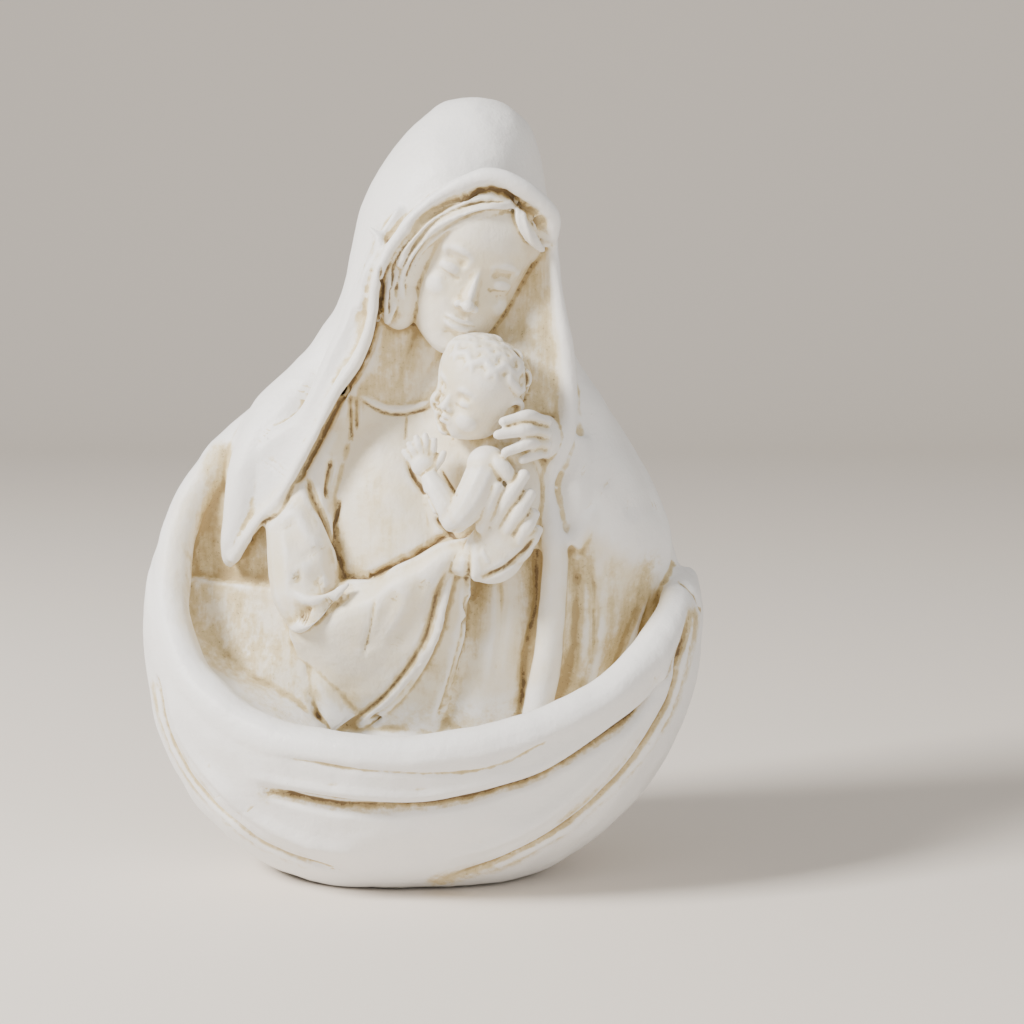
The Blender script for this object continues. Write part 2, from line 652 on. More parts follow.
def setting(centre, turn, scale):
    """How a head is set in place: turned to the right, down and over to the right."""
    side, down, over = [math.radians(a) for a in turn]
    spin = Matrix.Rotation(over, 4, "Y") @ Matrix.Rotation(down, 4, "X")
    spin = spin @ Matrix.Rotation(side, 4, "Z")
    return Matrix.Translation(at(*centre)) @ spin @ Matrix.Scale(scale, 4)


def set_lines(lines, matrix):
    """Lines drawn on a head, taken along with it to its place."""
    return [(depth, width, [tuple(matrix @ at(*p) / MM) for p in points])
            for depth, width, points in lines]


HEAD_VOXEL = 0.4
head = fuse("head", [
    skull([(-26.4, 4, -16.5, -6), (-24, 8.3, -18.4, 0), (-21, 11.2, -18.8, 4),
           (-17, 13.2, -18.6, 8), (-12, 14.8, -18.8, 13), (-6, 15.9, -18.6, 18),
           (0, 16.5, -18.0, 21), (6, 17, -19.2, 23), (12, 17, -19.4, 23.5),
           (18, 15.4, -16.8, 22), (22, 12.4, -12.6, 18), (25, 8, -7, 12), (26.3, 3, -2, 5)]),
    skull([(-11, 2.4, -20, -8), (-9.8, 3.3, -21.9, -8), (-8, 3.6, -22.9, -8),
           (-6, 3.3, -22.2, -8), (-3, 2.8, -20.9, -8), (0, 2.4, -19.7, -8),
           (3, 2.1, -18.9, -8), (6, 2.2, -18.8, -8)], power=1.7),
    ball((0, -15.0, -22.2), (4.6, 4.2, 3.6)),
    ball((0, -14.6, -14.6), (6.6, 5.5, 5.0)),
    *[ball((side * 7.6, -11.6, -6.8), (5.6, 5.7, 6.2)) for side in (-1, 1)],
    *[rope((side * 2.6, -17.9, 4.6, 1.3), (side * 7, -17.5, 6.2, 1.6),
           (side * 12, -13.6, 4.6, 1.3)) for side in (-1, 1)],
], HEAD_VOXEL, 1.15)
press(head, both(
    (1.6, 3.4, ((4.2, -18, 0.8), (7.4, -18, 1.2), (11, -15, 0.6))),
))
head = fuse("head", [
    head,
    ball((0, -22.6, -8), (2.0, 2.0, 1.8)),
    *[ball((side * 7.2, -13.8, -0.4), (4.5, 4.0, 3.3)) for side in (-1, 1)],
    *[ball((side * 2.6, -20.2, -8.8), (1.5, 1.9, 1.4)) for side in (-1, 1)],
    rope((-5.2, -17.9, -14.5, 0.4), (-2.2, -19.7, -13.6, 0.85), (0, -20.2, -13.9, 0.8),
         (2.2, -19.7, -13.6, 0.85), (5.2, -17.9, -14.5, 0.4)),
    rope((-4.6, -18.2, -15.2, 0.5), (-2, -19.5, -15.9, 1.05), (0, -19.8, -16.0, 1.15),
         (2, -19.5, -15.9, 1.05), (4.6, -18.2, -15.2, 0.5)),
], HEAD_VOXEL, 0.5)
FACE_LINES = both(
    (0.5, 0.5, ((4.4, -18, -1.9), (5.6, -18, -2.5), (7.4, -18, -2.8), (9.3, -17, -2.2),
                (11, -15, -1.0))),
    (0.2, 0.8, ((4.4, -18, 1.2), (5.6, -18, 2.2), (7.4, -18, 2.8), (9.6, -17, 2.2),
                (11.2, -15, 0.6))),
    (0.25, 1.3, ((4.2, -18, -3.9), (6.8, -18, -5.0), (9.8, -17, -4.2))),
    (0.5, 0.6, ((1.1, -22, -10.1), (1.9, -22, -10.2), (2.7, -21.4, -9.9))),
    (0.4, 0.7, ((2.9, -20, -6.0), (4.0, -19.5, -7.8), (4.1, -19.4, -9.6))),
    (0.3, 0.9, ((0.9, -20.5, -11.2), (1.0, -20.6, -12.6))),
) + [
    (0.55, 0.5, ((-5.7, -17.5, -14.4), (-3, -20, -14.7), (0, -21, -14.8), (3, -20, -14.7),
                 (5.7, -17.5, -14.4))),
    (0.5, 1.5, ((-4, -18.6, -18.4), (0, -19.6, -18.8), (4, -18.6, -18.4))),
]
head_set = setting(*HEAD_PLACE)
head.data.transform(head_set)


def lock(*stations, strands=5, twist=0.5):
    """A lock of hair: a rope with thinner strands wound along it."""
    dense = smooth_rows(np.array(stations, float), 3)
    path, radii = dense[:, :3], dense[:, 3]
    tangent = np.gradient(path, axis=0)
    tangent /= np.linalg.norm(tangent, axis=1)[:, None]
    out = np.cross(tangent, np.cross((0, -1, 0.2), tangent))
    out /= np.linalg.norm(out, axis=1)[:, None]
    side = np.cross(tangent, out)
    made = [rope(*[(*p, r * 0.8) for p, r in zip(path, radii)])]
    for i in range(strands):
        angle = 2 * math.pi * i / strands + twist * np.linspace(0, 2 * math.pi, len(path))
        spot = path + (out * np.cos(angle)[:, None] + side * np.sin(angle)[:, None]) * (
            radii * 0.62)[:, None]
        made.append(rope(*[(*p, r * 0.42) for p, r in zip(spot, radii)]))
    return made


hair = [
    *lock((26, -26, 192, 1.5), (20, -28, 192.4, 2.3), (13, -28.5, 191, 2.6),
          (5, -27, 187, 2.5), (-1, -25.5, 181, 2.4), (-6, -23.5, 174, 2.2)),
    *lock((25.5, -27.5, 190, 1.2), (20, -29.3, 189.2, 1.8), (13, -29, 187.2, 2.0),
          (6, -27.4, 183.6, 2.0), (-0.4, -25.2, 178, 1.8), (-4, -22.8, 171, 1.6),
          (-5, -21, 165, 1)),
    *lock((-6, -23, 176, 2.2), (-8.6, -21.5, 168, 2.5), (-8.2, -21, 162, 1.9),
          (-9, -20.5, 157.6, 0.8), strands=4),
    *lock((-9.6, -21.5, 175, 1.8), (-12, -20.5, 166, 2.1), (-11.6, -19.5, 160.5, 1.3),
          (-11.4, -19.5, 158, 0.6), strands=4),
    rope((24, -20, 190, 4), (13, -22, 188, 5), (4, -20.5, 182.5, 5.2), (-2, -18.5, 175, 5),
         (-5.5, -16, 166, 4.4)),
    ball((-6, -14, 168), (7, 8, 12)),
    rope((28, -22, 190, 2.2), (32, -22.5, 188, 2.6), (34, -21.5, 184, 2.6), (34, -20, 179, 2.2)),
    *lock((27.5, -26, 191, 1.4), (27.6, -27.8, 186.5, 1.8), (29.5, -27.4, 182.6, 1.8),
          (31.6, -25.6, 179.6, 1.5), (33.8, -23.5, 177.6, 0.9), strands=4),
    *lock((28.6, -25.5, 191, 1.3), (31, -26, 187, 1.7), (32.4, -25, 183.6, 1.5),
          (34.6, -23, 180.4, 0.9), strands=4),
    ball((27, -14, 182), (8, 11, 9)),
]

# Her hands
# Her right hand comes out of the sleeve and holds the child from below. The fingers of
# her left lie over its shoulder. Each finger is a tapered rope with its joints marked.


def finger(base, joint, tip, radius):
    """A finger of three bones from the knuckle to the tip."""
    (bx, by, bz), (jx, jy, jz), (tx, ty, tz) = base, joint, tip
    middle = ((jx + tx) / 2, (jy + ty) / 2, (jz + tz) / 2)
    return rope((bx, by, bz, radius), ((bx + jx) / 2, (by + jy) / 2, (bz + jz) / 2, radius * 0.93),
                (jx, jy, jz, radius), (*middle, radius * 0.86), (tx, ty, tz, radius * 0.74),
                (tx + (tx - middle[0]) * 0.25, ty + (ty - middle[1]) * 0.25,
                 tz + (tz - middle[2]) * 0.25, radius * 0.35))


hands = [
    rope((11, -27, 94, 5), (15, -30, 94, 5), (20, -32.5, 96.5, 5)),
    ball((20.6, -32.4, 96.4), (8.2, 4.2, 9.2), (0, 38, 0)),
    ball((23.4, -33.2, 100.4), (8.4, 4.2, 7.4), (0, 35, 0)),
    finger((20.2, -35.2, 104.4), (24.4, -38, 111.8), (28.8, -37.4, 118.2), 2.3),
    finger((23.6, -35.6, 102.4), (27.3, -37.8, 108.2), (30.6, -36.8, 113.2), 2.2),
    finger((26.8, -35.4, 99.8), (29.4, -36.8, 104.2), (31.6, -35.8, 107.8), 2.1),
    finger((28.2, -34.4, 96.8), (30.8, -35, 100.4), (32.6, -33.8, 103.2), 1.9),
    finger((17.4, -34.4, 102.6), (18.8, -38, 109.8), (21.6, -38.8, 115.2), 2.2),
    ball((34.5, -24, 127), (4, 6, 6)),
    finger((35, -31, 131.4), (29.6, -36.8, 133.6), (22.6, -38.4, 132), 1.75),
    finger((35, -31.5, 128.4), (28.8, -38.2, 129.8), (21.2, -39.2, 128.6), 1.8),
    finger((34.8, -31, 125.6), (29.6, -37.8, 126.2), (23.2, -39, 123.8), 1.7),
    finger((34.4, -30, 123.2), (31.6, -35.2, 123), (27.6, -37.6, 121.6), 1.5),
]

# The child
# A sleeping infant held at her breast, with its right arm bare and that hand laid open on
# her collar. Its head is modelled by itself too, with short curls over a round skull.
CHILD_PLACE = ((16.4, -27, 140.2), (-42, 17, 17), 1.0)
CHILD_VOXEL = 0.35
child_head = fuse("child head", [
    skull([(-13.6, 2.6, -7.4, -2), (-12.2, 6, -9.6, 2), (-9.5, 8.8, -10.2, 5),
           (-5.5, 10.6, -10.4, 9), (-1.5, 11.4, -10.4, 12), (3, 12.2, -11.2, 13.4),
           (7.5, 12, -10.8, 13), (11, 9.5, -8.2, 10.5), (13, 6, -5, 7), (14, 2.5, -2, 3)]),
    ball((0, -8.2, -11.4), (2.7, 2.5, 2.0)),
    rope((0, -9.8, 0.4, 0.9), (0, -10.6, -2.4, 1.1), (0, -11.3, -4.2, 1.3)),
    ball((0, -8.5, -7.8), (3.6, 2.8, 2.7)),
    *[ball((side * 4.9, -6.7, -6.0), (4.2, 3.8, 3.7)) for side in (-1, 1)],
    *[rope((side * 1.6, -10.2, 1.3, 0.8), (side * 4.4, -10.4, 2.3, 1.0),
           (side * 7.6, -8.2, 1.5, 0.9)) for side in (-1, 1)],
], CHILD_VOXEL, 0.8)
press(child_head, both((0.8, 2.0, ((2.2, -10.4, -1.2), (4.4, -10.4, -1.0), (6.8, -9, -1.2)))))
child_head = fuse("child head", [
    child_head,
    ball((0, -11.6, -4.5), (1.3, 1.2, 1.1)),
    *[ball((side * 4.4, -8.2, -1.7), (2.5, 2.2, 1.9)) for side in (-1, 1)],
    *[ball((side * 1.4, -10.8, -4.8), (0.9, 1.0, 0.8)) for side in (-1, 1)],
    rope((-2.3, -10.1, -7.5, 0.35), (-1, -11.0, -7.1, 0.6), (0, -11.2, -7.2, 0.6),
         (1, -11.0, -7.1, 0.6), (2.3, -10.1, -7.5, 0.35)),
    rope((-1.9, -10.1, -8.2, 0.4), (0, -10.9, -8.6, 0.75), (1.9, -10.1, -8.2, 0.4)),
    *[rope((side * 11.2, 0.2, 0.6, 0.7), (side * 12.4, 1.6, 2.2, 0.9),
           (side * 12.6, 4.0, 1.2, 0.9), (side * 12.2, 4.2, -1.4, 0.9),
           (side * 11.4, 2.0, -3.6, 0.9)) for side in (-1, 1)],
    *[ball((side * 11, 2, -1), (1.0, 2.2, 2.6)) for side in (-1, 1)],
], CHILD_VOXEL, 0.35)
CHILD_LINES = both(
    (0.35, 0.4, ((2.2, -10.6, -2.2), (3.4, -10.6, -2.9), (4.8, -10.4, -3.0), (6.6, -9, -2.2))),
    (0.12, 0.5, ((2.2, -10.6, -0.7), (4.2, -10.6, 0.2), (6.6, -9, -0.6))),
    (0.3, 0.5, ((0.6, -11.8, -5.6), (1.2, -11.4, -5.6))),
) + [
    (0.35, 0.4, ((-2.5, -10, -7.8), (0, -11.4, -7.9), (2.5, -10, -7.8))),
    (0.3, 0.9, ((-2, -9.8, -9.8), (0, -10.3, -9.9), (2, -9.8, -9.8))),
]
child_set = setting(*CHILD_PLACE)


def lying(obj, centre, turn, height, sink):
    """A point just under the surface, seen from a centre at a turn and height in degrees."""
    a, e = math.radians(turn), math.radians(height)
    way = Vector((math.sin(a) * math.cos(e), -math.cos(a) * math.cos(e), math.sin(e)))
    hit, place, _, _ = obj.ray_cast(at(*centre) + way * 60 * MM, -way)
    return tuple((place - way * sink * MM) / MM)


curls = []
for row, (top, low, count) in enumerate(((88, 58, 9), (70, 38, 15), (54, 24, 15), (38, 8, 9))):
    for i in range(count):
        turn = (-1 if row % 2 else 1) * (-120 + 240 * (i + 0.5 * (row % 2)) / count)
        if row == 3 and abs(turn) < 62:
            continue
        bend = 9 if (i + row) % 2 else -9
        path = []
        for step, (sway, radius) in enumerate(((0, 0.7), (0.9, 1.3), (0.1, 1.45), (-1.0, 1.25),
                                               (-1.5, 0.55))):
            height = top + (low - top) * step / 4
            swing = turn + sway * bend / max(0.35, math.cos(math.radians(height)))
            path.append((*lying(child_head, (0, 1.5, 2), swing, height, 0.30), radius))
        curls.append(rope(*path))
for curl in curls:
    curl.data.transform(child_set)
child_head.data.transform(child_set)
child = [
    child_head, *curls,
    ball((24, -25, 112), (9, 8, 14)),
    ball((18.6, -34.6, 120), (5.6, 4.6, 5.4), (0, 25, 0)),
    rope((19.4, -33.5, 121.5, 4), (17.4, -35.6, 117, 5.2), (14.6, -36.6, 111.2, 5.1),
         (11.2, -36.8, 106.6, 4.1), (9.6, -36.6, 105, 3)),
    ball((10, -36.2, 105.8), (4, 3.7, 4)),
    rope((10.4, -36, 105.2, 3.2), (7.6, -35, 108.6, 3.9), (4.8, -33.2, 113.2, 3.4),
         (2.6, -31.2, 117.4, 2.3)),
    ball((1.5, -29.9, 119.9), (3.7, 2.2, 3.4), (0, -12, 0)),
    finger((-1.0, -29.6, 120.2), (-2.8, -29.2, 122), (-4.4, -28.6, 123.7), 1.15),
    finger((-0.1, -29.9, 121.4), (-1.6, -29.7, 123.9), (-2.9, -29.2, 125.9), 1.15),
    finger((1.0, -30.1, 122.2), (0, -30.1, 125.2), (-0.8, -29.5, 127.7), 1.15),
    finger((2.2, -30.2, 122.2), (2.0, -30.1, 125.6), (1.7, -29.6, 128.3), 1.15),
    finger((3.5, -30.2, 121.6), (4.0, -30.2, 124.7), (4.3, -29.8, 127.1), 1.15),
    finger((4.3, -30.6, 119.0), (6, -30.8, 121.4), (7, -30.4, 123.6), 1.2),
    rope((19.6, -35.5, 122.4, 2.2), (22, -37.6, 120.4, 2.5), (24.2, -37.6, 117.8, 2.1),
         (25, -37, 115.8, 1.2)),
]

# The casting
# Everything is fused into one skin, as it came out of the mould, and the sharp lines of the
# modelling tool are cut in it. Sight lines from the camera's place lay each one where it is
# seen in the photograph.
EYE = at(25.2, -645, 170)
figurine = fuse("figurine", [cloth, head, *hair, *hands, *child], FINE, 0.3)


# Places read off the photograph by eye: pixels across and down, and a guess at the depth.
LEFT_GROOVE = (
    (159, 690, -16), (168, 731, -18), (190, 775, -22), (222, 812, -26), (258, 841, -28),
    (300, 860, -30), (345, 872, -31),
)
RIGHT_GROOVE = (
    (440, 880, -30), (512, 857, -33), (570, 823, -36), (628, 767, -32), (668, 706, -26),
    (684, 648, -20),
)


def in_photo(*pixels):
    """The places in mm where sight lines through the photograph's pixels reach a depth y."""
    pixel = CAMERA_SENSOR / CAMERA_LENS / PHOTO
    tilt = Matrix.Rotation(math.radians(CAMERA_TILT), 3, "X")
    eye = EYE / MM
    places = []
    for across, down, y in pixels:
        way = tilt @ Vector(((across - PHOTO / 2) * pixel, (PHOTO / 2 - down) * pixel, -1))
        places.append(tuple(eye + way * ((y - eye.y) / way.y)))
    return places


BOWL_LINES = [
    # the three bands of cloth that the bowl is wound from, standing out between the grooves
    (-1.0, 6.0, ((-72, -26, 62), (-58, -42, 49), (-40, -52, 43), (-18, -57, 40), (5, -58, 40),
                 (28, -55, 45), (48, -45, 54), (64, -30, 66), (75, -14, 78))),
    (-1.1, 6.0, ((-68, -30, 38), (-50, -42, 26), (-20, -50, 18), (5, -52, 17), (30, -50, 25),
                 (50, -43, 38), (66, -30, 54), (77, -12, 70))),
    (-0.7, 4.0, ((20, -35, 5), (40, -36, 15), (58, -28, 34), (70, -16, 52))),
    # the overhanging lip over the long groove, and the groove
    (-1.2, 1.7, ((-48.7, -37, 36), (-36.1, -43.9, 35.6), (-23.4, -47.9, 34.4), (-9.9, -50.1, 33.6),
                 (2.6, -50.6, 33.9), (22, -49.7, 37.8), (34.3, -47.3, 41.6), (48.3, -42.9, 49.7))),
    (3.4, 1.4, ((-44.3, -38.5, 33.3), (-36.3, -42.3, 31.8), (-27.4, -45.4, 30.9),
                (-18.7, -47.3, 30), (-10.1, -48.5, 29.4), (2.5, -49.1, 29.6), (12.7, -49.1, 31.5),
                (22, -48.3, 33.7), (34.3, -45.9, 37.5), (48.9, -41.5, 45.9), (62.8, -33.3, 55.5),
                (71.5, -25, 68.3), (75.3, -17.9, 79.7))),
    (3.4, 1.3, ((-42.5, -39, 31.4), (-32, -42.4, 29.2), (-21, -45.3, 28), (-10.1, -47.5, 27.7),
                (-1, -48.4, 28.6))),
    (0.5, 1.6, ((-43.5, -43.9, 43.7), (-25.8, -50.5, 41.8), (-4.4, -53.7, 40.9), (16.7, -53, 42.9),
                (38, -48.2, 48.3), (54.3, -41.1, 57.3))),
    (1.3, 1.1, ((70.5, -18, 87), (74, -16, 85), (77, -12, 81), (79, -8, 76))),
    (0.6, 1.0, ((-40, -53, 45), (-10, -59, 41.5), (20, -58, 43), (45, -49, 54))),
]
LOW_LINES = [
    # the groove round the bowl's left foot, and the long one up to its right
    (2.6, 1.5, ((-74.6, -15, 60), *in_photo(*LEFT_GROOVE))),
    (-1.4, 2.4, ((-72, -18, 58), (-66.5, -24, 45.5), (-60, -27, 36), (-51, -31, 27.5),
                 (-41, -33, 20.5), (-29, -35, 15.8), (-16, -36, 13.4))),
    (2.6, 1.5, (*in_photo(*RIGHT_GROOVE), (75, -16, 76))),
    (-1.4, 2.4, ((3, -33, 10.5), (22.5, -37, 18), (37.5, -39, 27.6), (53, -35, 42),
                 (64.6, -28, 57.5), (70, -22, 71))),
]
CLOTH_LINES = [
    # soft dents of the hood and the shoulders
    (0.8, 5.0, ((-30, -16, 142), (-36.5, -14, 128), (-43, -11, 115))),
    (0.4, 4.0, ((44, -20, 119), (49, -18, 114), (52, -17, 112))),
    (0.5, 3.0, ((56, -16, 107.5), (61, -12, 106.6), (67, -6, 107))),
    (-0.6, 3.0, ((-26, -8, 146), (-36, -8, 136), (-46, -6, 124))),
    (2.2, 1.5, ((-3, -26, 183), (2.6, -27, 187.0), (8, -28, 190.4), (13.4, -29, 192.6),
                (19.3, -29, 194), (25, -29, 192), (31.6, -27, 187.2), (33.8, -25, 183.5),
                (34, -22, 178.9))),
    # where the veil's edge lies on the gown and on the arm
    (1.5, 1.0, ((-6, -24, 176.5), (-9.8, -24, 169), (-11.4, -23, 157.4), (-15, -22, 147.6),
                (-20.6, -22, 139), (-25.2, -21, 130), (-31.4, -19, 119), (-38.4, -16, 107.6),
                (-44, -13, 102), (-49.6, -11, 94.6))),
    # the elbow's pocket and the sleeve's upper edge
    (1.5, 2.2, ((-33.4, -28, 77.4), (-30, -29, 77.6), (-26.4, -29, 79.6), (-22.4, -28, 83.4))),
    (0.9, 2.4, ((-35.4, -26, 89.4), (-30.6, -29, 87.4), (-25.4, -29, 88))),
    (0.8, 2.8, ((-38, -18, 104), (-34, -22, 98), (-29.6, -24, 93))),
    (-0.8, 2.8, ((-37.4, -18, 108), (-32.4, -22, 102), (-27.6, -23, 95))),
    (1.7, 1.0, ((-21, -25, 88.8), (-16, -25, 88.6), (-12, -26, 89.6), (-6.6, -27, 92.6),
                (0, -28, 96), (6, -29, 100), (12, -30, 102.4))),
    # beside the lower hems
    (0.9, 1.0, ((7.4, -29, 92), (4.2, -28, 82.4), (2, -27, 73.6), (-2.4, -25, 65),
                (-8.8, -23, 56.4), (-15, -20, 50.4), (-20, -17, 46.6))),
    (0.7, 2.2, ((-6, -29, 86), (-10, -28, 76), (-16, -25, 67))),
    (0.8, 2.8, ((2, -29, 89), (-2, -27, 79), (-8, -25, 68))),
    # round the child: its head, its arm and its body
    (1.4, 0.8, ((2.4, -30, 149), (2.2, -31, 143.7), (2.6, -32, 138.4), (5.4, -33, 131.6),
                (9.6, -34, 126.4))),
    (1.6, 0.8, ((-3.6, -28, 121.4), (-1.6, -29, 117), (1.2, -30, 112.6), (4.2, -33, 107.2),
                (6.4, -35, 103.4), (10.4, -36, 100.8), (15, -35, 102.4))),
    (0.8, 0.6, ((6, -33, 119), (8.4, -35, 115), (10.6, -36, 111.6))),
    (0.9, 0.6, ((25, -33, 152), (28.6, -30, 148), (29.6, -30, 142), (28.4, -31, 137))),
    (1.2, 0.8, ((16.6, -35, 89.6), (22.6, -35, 92), (28, -34, 96.2), (32, -32, 101))),
    # the strands of the hair
    (1.0, 0.55, ((24.6, -28, 190.6), (19, -29, 190.8), (12, -29, 189.2), (5, -28, 185.4),
                 (-0.6, -26, 179.6), (-4.6, -24, 172.6))),
    (0.8, 0.5, ((23, -28, 192.2), (14, -28, 191.4), (6, -27, 188), (-1, -26, 182.4),
                (-6, -24, 175.4), (-8, -22, 168))),
    (1.2, 0.8, ((24, -28, 188.4), (18, -28, 187.6), (12, -28, 185.8), (6, -28, 182.4),
                (0.6, -26, 177.2), (-2.8, -25, 171), (-3.6, -24, 165))),
    (0.9, 0.5, ((-7, -22, 173), (-7.6, -22, 166), (-8.4, -21, 160))),
    (0.9, 0.5, ((-10.2, -22, 174), (-10.4, -21, 167), (-10.4, -20, 160))),
    # the folds from the shoulder, the gathers under the collar, and the collar
    (1.6, 1.2, ((-32.4, -18, 117.7), (-29.7, -18, 110.2), (-26.3, -18, 103.5),
                (-23.1, -18, 95.4), (-21.2, -18, 86.8))),
    (1.4, 1.0, ((-24.5, -19, 121), (-25.4, -19, 115), (-25.9, -19, 109.2))),
    (1.2, 0.9, ((-22.3, -19, 110), (-23.5, -19, 102.5), (-22.5, -19, 94.4))),
    (0.8, 0.9, ((-19.9, -12, 139.3), (-19.6, -13, 132), (-19.6, -14, 124.5))),
    (0.7, 0.8, ((-18.1, -12, 137.6), (-18.1, -13, 127.6))),
    (-0.7, 0.9, ((-17.4, -13, 138.2), (-11.2, -14, 134.9), (-6.2, -14, 134), (-0.9, -14, 134.9),
                 (3.9, -14, 136.7))),
    (0.5, 0.6, ((-17.4, -13, 136.8), (-11.2, -14, 133.4), (-6.2, -14, 132.5), (-0.9, -14, 133.4),
                (3.9, -14, 135.2))),
    (0.4, 0.6, ((-3.9, -14, 133), (-4.2, -15, 129), (-4.5, -15, 125))),
    (0.35, 0.5, ((-12.3, -28, 83.5), (-13.3, -28, 76.3), (-16.2, -27, 64.6))),
    # the hems
    (-1.1, 1.3, ((10, -30, 94), (6.8, -29, 82.6), (4.7, -28, 73.4), (0.3, -26, 64.2),
                 (-6.2, -23, 55), (-12.8, -20, 49), (-18.4, -16, 44.6))),
    (-0.8, 1.4, ((15.2, -29, 99), (15.2, -29, 90), (14.4, -28, 80), (12.6, -27, 70),
                 (10.2, -25, 61), (7.4, -22, 52), (5, -19, 45))),
    (1.2, 1.1, ((13.4, -28, 100), (13.2, -28, 90), (12.6, -28, 77.6), (10.9, -27, 68.5),
                (8.7, -25, 60), (5.9, -22, 50.8), (3.4, -19, 44.2))),
    (1.0, 1.5, ((31.3, -16, 95.5), (32.1, -16, 87.6), (31.4, -16, 77.5), (28.8, -16, 65.6),
                (28.2, -15, 56.2), (26.9, -14, 46.8))),
    (0.6, 1.5, ((22, -20, 90), (22.5, -20, 80), (21.5, -20, 68), (20, -18, 56))),
    (1.3, 1.9, ((43.5, -10, 92.5), (43.5, -10, 82.9), (43.2, -10, 73.8), (42.1, -10, 63.5),
                (39.1, -10, 50))),
]
press(figurine, BOWL_LINES, EYE)
press(figurine, LOW_LINES, EYE)
press(figurine, CLOTH_LINES, EYE)
BACK_LINES = [
    # the mantle's soft hanging folds behind, and the bands that run on round the bowl
    (1.9, 4.6, ((15, 24, 200), (17, 32, 172), (22, 38, 142), (33, 40, 108), (40, 37, 76),
                (37, 31, 46))),
    (1.6, 4.0, ((4, 24, 192), (0, 33, 162), (-6, 39, 132), (-9, 43, 98), (-6, 43, 66),
                (0, 38, 36))),
    (1.9, 4.6, ((-7, 18, 176), (-20, 25, 150), (-35, 31, 122), (-46, 33, 92), (-45, 33, 64),
                (-36, 31, 38))),
    (1.0, 1.8, ((-7, 18, 176), (-20, 25, 150), (-35, 31, 122), (-46, 33, 92))),
    (0.9, 1.8, ((17, 32, 172), (22, 38, 142), (33, 40, 108), (40, 37, 76))),
    (1.5, 3.6, ((-60, 10, 118), (-66, 14, 98), (-64, 20, 76), (-54, 26, 54))),
    (1.5, 3.6, ((50, 14, 122), (60, 16, 104), (64, 18, 82), (58, 24, 58))),
    (1.8, 2.6, ((-74, -4, 62), (-64, 16, 48), (-44, 29, 36), (-14, 37, 27), (18, 37, 29),
                (46, 27, 42), (66, 12, 58), (75, -4, 72))),
    (1.5, 2.4, ((-66, 2, 34), (-50, 18, 24), (-28, 27, 16), (2, 31, 12), (32, 27, 18),
                (54, 15, 32), (68, 0, 50))),
]
press(figurine, BACK_LINES)
press(figurine, set_lines(FACE_LINES, head_set) + set_lines(CHILD_LINES, child_set))

# The wash
# A thin brown wash was brushed over the casting and wiped off again. It stays where the
# surface lies lower than what is round it. The depths below are what it is painted from.


def smoothed_places(obj, radius):
    """Where the vertices would be if the surface were smoothed over a radius."""
    copy = obj.copy()
    copy.data = obj.data.copy()
    bpy.context.collection.objects.link(copy)
    apply_modifier(copy, "SMOOTH", factor=0.5, iterations=max(1, round(2 * (radius / FINE) ** 2)))
    places, _ = mesh_arrays(copy)
    bpy.data.objects.remove(copy)
    return places


def store(obj, name, values):
    layer = obj.data.attributes.new(name, "FLOAT", "POINT")
    layer.data.foreach_set("value", np.asarray(values, np.float32))


def shelter(obj, samples=24, reach=26):
    """How much of the open air is shut off at each vertex, measured on a coarser copy."""
    copy = obj.copy()
    copy.data = obj.data.copy()
    bpy.context.collection.objects.link(copy)
    apply_modifier(copy, "REMESH", mode="VOXEL", voxel_size=2.0 * MM)
    tree = BVHTree.FromObject(copy, bpy.context.evaluated_depsgraph_get())
    golden = math.pi * (3 - 5 ** 0.5)
    ways = []
    for i in range(samples):
        rise = 1 - (i + 0.5) / samples
        ways.append(Vector((math.cos(golden * i) * (1 - rise**2) ** 0.5,
                            math.sin(golden * i) * (1 - rise**2) ** 0.5, rise)))
    spots = KDTree(len(copy.data.vertices))
    shut = []
    for vertex in copy.data.vertices:
        turn = vertex.normal.to_track_quat("Z", "Y")
        start = vertex.co + vertex.normal * 0.8 * MM
        hits = sum(tree.ray_cast(start, turn @ way, reach * MM)[0] is not None for way in ways)
        shut.append(hits / samples)
        spots.insert(vertex.co, vertex.index)
    spots.balance()
    shut = np.array(shut)
    ends = np.array([edge.vertices[:] for edge in copy.data.edges])
    for _ in range(3):
        total, count = shut.copy(), np.ones(len(shut))
        for a, b in ((0, 1), (1, 0)):
            np.add.at(total, ends[:, a], shut[ends[:, b]])
            np.add.at(count, ends[:, a], 1)
        shut = total / count
    places, _ = mesh_arrays(obj)
    result = np.empty(len(places))
    for i, place in enumerate(places):
        near = spots.find_n(place, 3)
        result[i] = sum(shut[n[1]] / (n[2] + 1e-5) for n in near) / sum(
            1 / (n[2] + 1e-5) for n in near)
    bpy.data.objects.remove(copy)
    return result


MOUTH_DEPTH = -22
INSIDE = (
    # x and z at the mouth's depth, round the bowl's rim and up the veil's edges
    (4, 189.5), (19.3, 196.5), (28, 193), (34.6, 187), (36, 172), (38, 158), (39.5, 148),
    (38.6, 134), (35.6, 121), (33.6, 112), (34.4, 98), (41, 96), (46, 101), (51, 97),
    (57, 93), (64, 89), (69, 84), (63, 75), (49, 64.5), (27, 56), (4, 52.6), (-18.6, 52.4),
    (-44, 56.6), (-59, 63), (-68, 76), (-71, 92), (-67, 108), (-60, 119), (-55.5, 124),
    (-54, 108), (-56, 94), (-53, 91), (-44, 108), (-36, 115), (-28, 129), (-18, 147),
    (-14.4, 158), (-12.6, 169), (-8, 178), (-2, 184.6),
)


